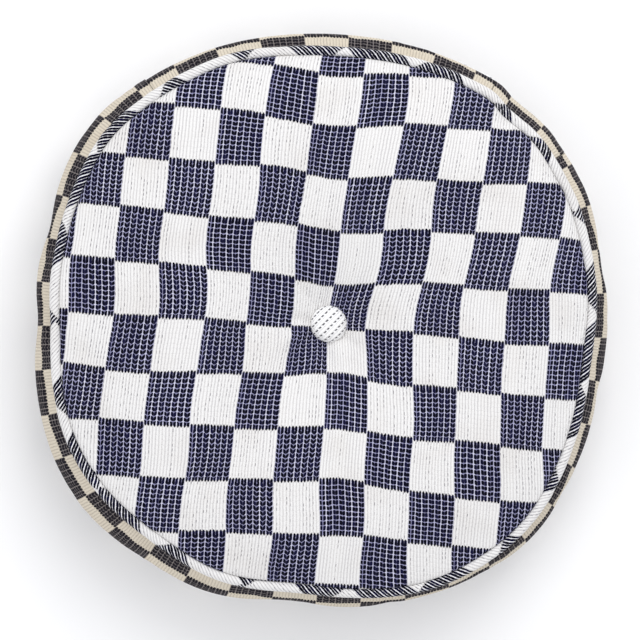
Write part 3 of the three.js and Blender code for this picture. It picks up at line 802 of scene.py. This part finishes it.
def band():
    stretches = [("short", ZIP_END, BAND_JOIN, 26), ("long", BAND_JOIN, TURN - ZIP_END, 200)]
    for name, start, end, count in stretches:
        bearings = np.linspace(start + 0.0012, end - 0.0012, count)
        points = swept(BAND_WHOLE, 38, bearings, 0.6)
        cover_piece(f"band_front_{name}_cloth", points, fabric_of_band(points, bearings), "band_front", BAND_PAINTED_SHADE)
    bearings = np.linspace(-ZIP_END, ZIP_END, 61)
    upper = swept(STRIP_UPPER, 30, bearings, 0.5)
    cover_piece("band_zip_upper_cloth", upper, fabric_of_band(upper, bearings), "band_zip_upper", BAND_PAINTED_SHADE,
                held=(HELD_ROWS, 9))
    lower = turned_over(upper)
    fabric = fabric_of_band(upper, bearings)[::-1] * (1, -1) + (0, 0.3)
    cover_piece("band_zip_lower_cloth", lower, fabric, "band_zip_lower", BAND_PAINTED_SHADE, held=(9, HELD_ROWS))


panels()
band()

# ---- Filling ----------------------------------------------------------------------------------------


def filling():
    upper = swept(WRAP_UPPER, 40, BEARINGS)
    lower = turned_over(upper)
    lower[..., 2] = np.maximum(lower[..., 2], 0.0040)
    for side, points in (("top", upper), ("bottom", lower)):
        wrap = grid_object(f"fibre_wrap_{side}_pad", points, no_fabric(points), closed=True)
        thicken(wrap, 0.0026)
        finish_piece(wrap, FIBRE, "cushion", "batting", f"fibre_wrap_{side}")
    points = swept(FOAM_RING, 44, BEARINGS)
    foam = grid_object("foam_core_block", points, no_fabric(points), closed=True, looped=True)
    finish_piece(foam, FOAM, "cushion", "foam", "foam_core")


filling()

# ---- Piping -----------------------------------------------------------------------------------------

PIPING_JOIN = math.radians(36)      # where the piping's two ends meet
FLANGE = 0.0010


def piping(side):
    """A cord in a bias strip whose two edges lie in the seam."""
    bearings = PIPING_JOIN + np.linspace(0.001, TURN - 0.001, 721)
    tails = [at_seam(-ALLOWANCE_END, FLANGE), at_seam(-0.0072, FLANGE)]
    arc = [beside_piping(degrees, 0.0) for degrees in range(162, -163, -27)]
    section = smooth_line(tails + arc + [at_seam(-0.0072, -FLANGE), at_seam(-ALLOWANCE_END, -FLANGE)], 34)
    seam = np.array(at_seam(0, 0))
    lumps = 1 + 0.03 * waves(bearings, 25, 70, 11)
    lift = 0.0005 * waves(bearings, 3, 14, 12)
    x = seam[0] + (section[:, :1] - seam[0]) * lumps
    z = seam[1] + (section[:, 1:] - seam[1]) * lumps + lift
    cover = deform(place(x, z, bearings[None, :]))

    angles = np.linspace(math.pi, -math.pi, 12, endpoint=False)[:, None]
    ring = 0.0022 * np.stack([np.cos(angles), np.sin(angles)])
    around = np.linspace(0, TURN, 480, endpoint=False)[None, :]
    cord = deform(place(seam[0] + ring[0], seam[1] + ring[1], around))
    if side == "bottom":
        cover, cord = turned_over(cover), turned_over(cord)
    piece = grid_object(f"{side}_piping_cloth", cover, fabric_on_bias(cover))
    thicken(piece, 0.0007)
    finish_piece(piece, BIAS, "cushion", "bias_cloth", f"{side}_piping_cover")
    piece = grid_object(f"{side}_piping_cotton", cord, no_fabric(cord), closed=True, looped=True)
    finish_piece(piece, COTTON, "cushion", "cotton_cord", f"{side}_piping_cord")


piping("top")
piping("bottom")

# ---- Buttons ----------------------------------------------------------------------------------------

BUTTON_PROFILE = [(0.00005, 0.0080), (0.0030, 0.0079), (0.0062, 0.0075), (0.0095, 0.0066), (0.0122, 0.0049),
                  (0.0138, 0.0028), (0.0141, 0.0013), (0.0137, 0.0003), (0.0125, 0.0001), (0.0115, 0.0001)]


def button(side, height):
    """A metal button covered in ivory cloth, which is gathered round its rim."""
    line = smooth_line(BUTTON_PROFILE, 30)
    radius, rise = line[:, :1], line[:, 1:]
    bearings = np.linspace(0, TURN, 72, endpoint=False)
    gather = 1 + 0.010 * waves(bearings, 12, 22, 21) * (radius / 0.0141) ** 4
    flat = outward(bearings) * (radius * gather)[..., None]
    points = np.concatenate([flat + TUFT, height + np.broadcast_to(rise, flat.shape[:2])[..., None]], -1)
    run = run_of(points, 0)[..., None]
    x, y = np.moveaxis(outward(bearings) * run, -1, 0)
    fabric = np.stack([(x - y) * HALF / RIB + 0.4, (x + y) * HALF / ROW], -1)
    if side == "bottom":
        points[..., 2] = 2 * height - points[..., 2]
        points, fabric = points[::-1], fabric[::-1]
    piece = grid_object(f"{side}_button_cloth", points, fabric, closed=True)
    subdivide(piece)
    thicken(piece, 0.0006)
    finish_piece(piece, IVORY_PAINTED_LIGHT, "cushion", "ivory_cloth", f"{side}_button_cover")


button("top", DIMPLE_TOP + BUTTON_LIFT)
button("bottom", DIMPLE_BOTTOM - BUTTON_LIFT)

# ---- Zip --------------------------------------------------------------------------------------------

TOOTH = 0.0016
COIL_MIDDLE = -0.0049       # the coil's middle, from the outline
COIL_DEPTH = 0.0010
COIL_RISE = 0.0021          # from the zip's middle to the middle of each row
COIL_WIDTH = 0.0012


def zip_coil(side, sign):
    """One row of coil, with a ridge for every loop. The heads of its loops fall between the other row's."""
    teeth = round(2 * CHAIN_END * SIDE_RADIUS / TOOTH)
    share = np.linspace(0, 1, 8 * teeth + 1)[None, :]
    ridge = (0.5 + 0.5 * np.cos(TURN * (teeth * share + (0.5 if sign > 0 else 0)))) ** 0.7
    closing = np.clip(np.minimum(share, 1 - share) * 500, 0.02, 1)
    angles = np.linspace(math.pi, -math.pi, 14, endpoint=False)[:, None]
    x = COIL_MIDDLE + (COIL_DEPTH + 0.00030 * ridge) * closing * np.cos(angles)
    z = MID + sign * COIL_RISE + (COIL_WIDTH + 0.00025 * ridge) * closing * np.sin(angles)
    points = place(x, z, CHAIN_END * (2 * share - 1))
    piece = grid_object(f"zip_coil_{side}_loops", points, no_fabric(points), looped=True)
    finish_piece(piece, NYLON, "cushion", "zip_coil", f"zip_coil_{side}")


STITCH = 0.0034             # from each stitch to the next
STITCH_RADIUS = 0.00028
STITCH_RISE = 0.0080        # from the zip's middle


def zip_stitching(side, sign):
    """A row of topstitching, which holds a folded edge of the band to the zip's tape."""
    line = smooth_line(STRIP_UPPER, 200)
    front = float(np.interp(MID + STITCH_RISE, line[::-1, 1], line[::-1, 0]))
    count = round(2 * ZIP_END * SIDE_RADIUS / STITCH)
    lengthwise = np.linspace(-1, 1, 7)[None, :]
    angles = np.linspace(math.pi, -math.pi, 8, endpoint=False)[:, None]
    thick = STITCH_RADIUS * np.sqrt(1 - 0.9 * lengthwise**4)
    half_angle = 0.38 * STITCH / SIDE_RADIUS
    work = bmesh.new()
    for middle in np.linspace(0.006 - ZIP_END, ZIP_END - 0.006, count):
        x = front + 0.0001 + thick * np.cos(angles)
        z = MID + sign * STITCH_RISE + thick * np.sin(angles)
        rings = place(x, z, middle + half_angle * lengthwise)
        grid = [[work.verts.new(point) for point in row] for row in rings]
        for here, after in zip(grid, grid[1:] + grid[:1]):
            for k in range(len(here) - 1):
                work.faces.new((here[k], here[k + 1], after[k + 1], after[k]))
        work.faces.new([row[0] for row in grid])
        work.faces.new([row[-1] for row in reversed(grid)])
    bmesh.ops.recalc_face_normals(work, faces=work.faces)
    mesh = bpy.data.meshes.new(f"zip_stitching_{side}")
    work.to_mesh(mesh)
    work.free()
    mesh.shade_smooth()
    piece = bpy.data.objects.new(f"zip_stitching_{side}", mesh)
    bpy.context.scene.collection.objects.link(piece)
    finish_piece(piece, THREAD, "cushion", "twine")


def rounded_copy(name, node, body):
    """A piece of the zip's hardware with its hard edges rounded off."""
    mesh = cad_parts[node].data.copy()
    work = bmesh.new()
    work.from_mesh(mesh)
    bmesh.ops.remove_doubles(work, verts=work.verts, dist=1e-6)
    bmesh.ops.dissolve_limit(work, angle_limit=math.radians(1), verts=work.verts, edges=work.edges)
    work.to_mesh(mesh)
    work.free()
    piece = bpy.data.objects.new(name, mesh)
    bpy.context.scene.collection.objects.link(piece)
    modifier = piece.modifiers.new("edges", "BEVEL")
    modifier.width = 0.0002
    modifier.segments = 2
    modifier.limit_method = "ANGLE"
    modifier.angle_limit = math.radians(40)
    apply_modifiers(piece)
    piece.data.shade_smooth()
    finish_piece(piece, METAL, body, "nickel", node)


for side, sign in (("upper", 1), ("lower", -1)):
    zip_coil(side, sign)
    zip_stitching(side, sign)
    rounded_copy(f"zip_top_stop_{side}_rounded", f"zip_top_stop_{side}", "cushion")
rounded_copy("zip_bottom_stop_rounded", "zip_bottom_stop", "cushion")
rounded_copy("zip_slider_rounded", "zip_slider", "slider")
rounded_copy("zip_pull_rounded", "zip_pull", "pull")

# ---- Carried-over CAD pieces ------------------------------------------------------------------------

SHOWN_AS = {
    "zip_tape_upper": TAPE, "zip_tape_lower": TAPE, "tuft_twine": TWINE, "twine_knot": TWINE,
}
for side in ("top", "bottom"):
    for part in ("shell", "back", "shank"):
        SHOWN_AS[f"{side}_button_{part}"] = STEEL
for node, material in SHOWN_AS.items():
    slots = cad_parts[node].data.materials
    slots.clear()
    slots.append(material)
